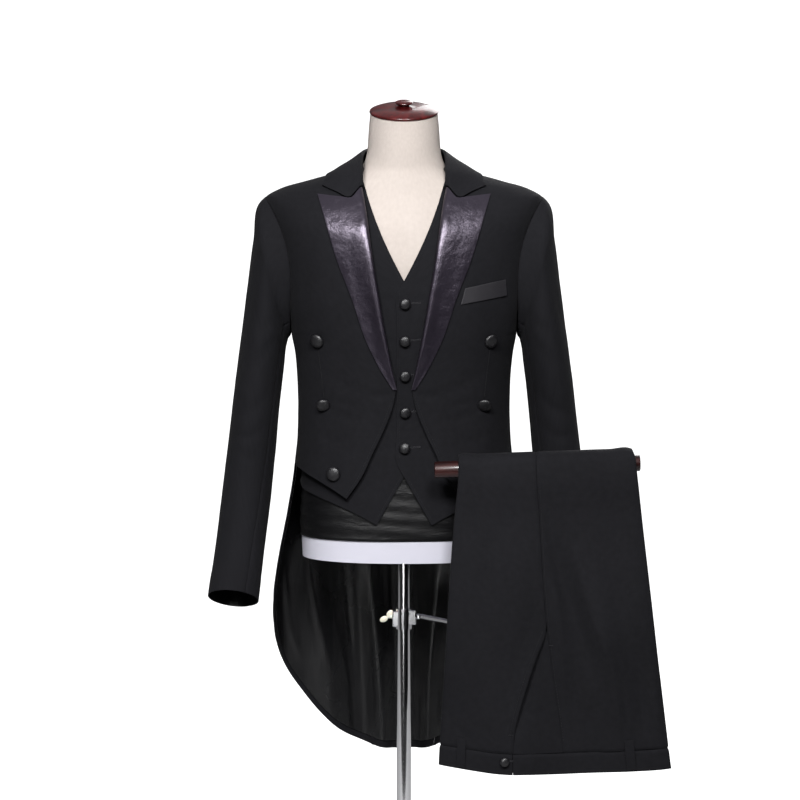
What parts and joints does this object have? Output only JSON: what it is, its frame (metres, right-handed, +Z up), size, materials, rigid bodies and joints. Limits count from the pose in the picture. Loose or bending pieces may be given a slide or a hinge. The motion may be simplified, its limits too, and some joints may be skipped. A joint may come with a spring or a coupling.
{
  "type": "tailcoat suit on a limbless dress form and pole stand",
  "caption": "Black tailcoat with satin peak lapels and matching waistcoat on a limbless dress form, its trousers folded over a bar on the same stand.",
  "frame": {"origin": "middle of the round base's underside, on the floor", "axes": "+Z up the pole, -Y the way the suit faces, +X the wearer's left"},
  "size_m": [0.7451, 0.395, 1.5487],
  "materials": {
    "suit_cloth": "matt black wool-blend suiting",
    "satin": "black satin with a soft purple-grey sheen",
    "lining": "black lining satin",
    "form_linen": "pale natural linen over a hard form",
    "hip_cloth": "matt black knit",
    "mahogany": "dark red-brown gloss lacquer",
    "chrome": "polished",
    "cream_plastic": "off-white moulded"
  },
  "bodies": {
    "root": {"arm_clamp": "chrome", "base_plate": "chrome", "belt_loop1": "suit_cloth", "belt_loop2": "suit_cloth", "breast_welt": "suit_cloth", "coat_back_l": "suit_cloth", "coat_back_r": "suit_cloth", "coat_button_l1": "satin", "coat_button_l2": "satin", "coat_button_l3": "satin", "coat_button_r1": "satin", "coat_button_r2": "satin", "coat_button_r3": "satin", "coat_front_l": "suit_cloth", "coat_front_r": "suit_cloth", "coat_side_body_l": "suit_cloth", "coat_side_body_r": "suit_cloth", "coat_skirt_l": "suit_cloth", "coat_skirt_r": "suit_cloth", "collar": "suit_cloth", "dress_form": "form_linen", "hip_band": "hip_cloth", "lapel_l": "satin", "lapel_r": "satin", "neck_cap": "mahogany", "pocket_facing": "suit_cloth", "pole": "chrome", "tail_lining_l": "lining", "tail_lining_r": "lining", "top_sleeve_l": "suit_cloth", "top_sleeve_r": "suit_cloth", "trouser_arm": "chrome", "trouser_back_r": "suit_cloth", "trouser_bar": "mahogany", "trouser_front_r": "suit_cloth", "trouser_leg_l": "suit_cloth", "under_sleeve_l": "suit_cloth", "under_sleeve_r": "suit_cloth", "vest_back": "lining", "vest_button1": "satin", "vest_button2": "satin", "vest_button3": "satin", "vest_button4": "satin", "vest_button5": "satin", "vest_front_l": "suit_cloth", "vest_front_r": "suit_cloth", "waist_button": "satin", "waistband_back": "suit_cloth", "waistband_front": "suit_cloth", "wing_screw": "cream_plastic"}
  },
  "joints": []
}
